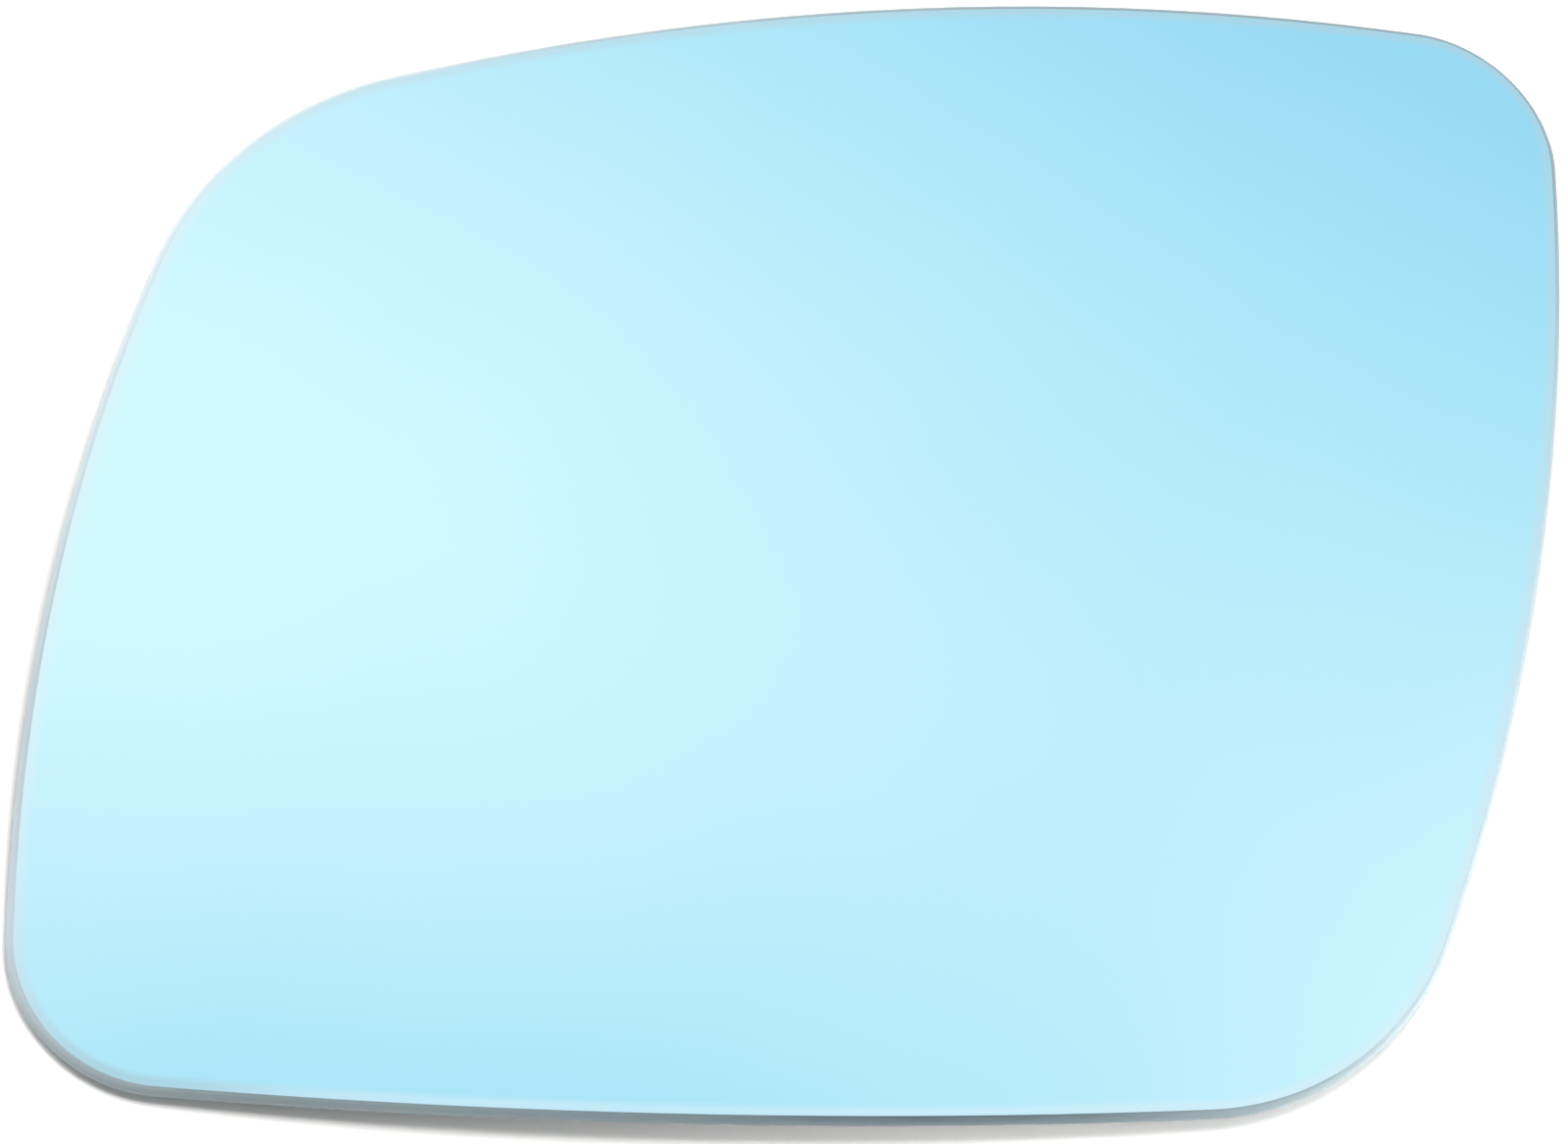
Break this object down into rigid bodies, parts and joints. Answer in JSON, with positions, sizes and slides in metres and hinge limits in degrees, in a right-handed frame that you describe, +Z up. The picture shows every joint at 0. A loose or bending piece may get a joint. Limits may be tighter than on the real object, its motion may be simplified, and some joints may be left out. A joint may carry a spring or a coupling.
{
  "type": "car door mirror glass",
  "caption": "Bent car door mirror glass with rounded corners, a blue-tinted reflecting face and a round ground edge.",
  "frame": {"origin": "on the bench that the glass lies on, under the middle of its outline's box", "axes": "+X across the glass, towards the car, +Y up the glass, +Z up from the bench and out of the reflecting face"},
  "size_m": [0.1856, 0.1506, 0.0071],
  "materials": {
    "blue_mirror": "blue-tinted reflecting coating on polished glass, with a matt ground edge"
  },
  "bodies": {
    "root": {"mirror_glass": "blue_mirror"}
  },
  "joints": []
}
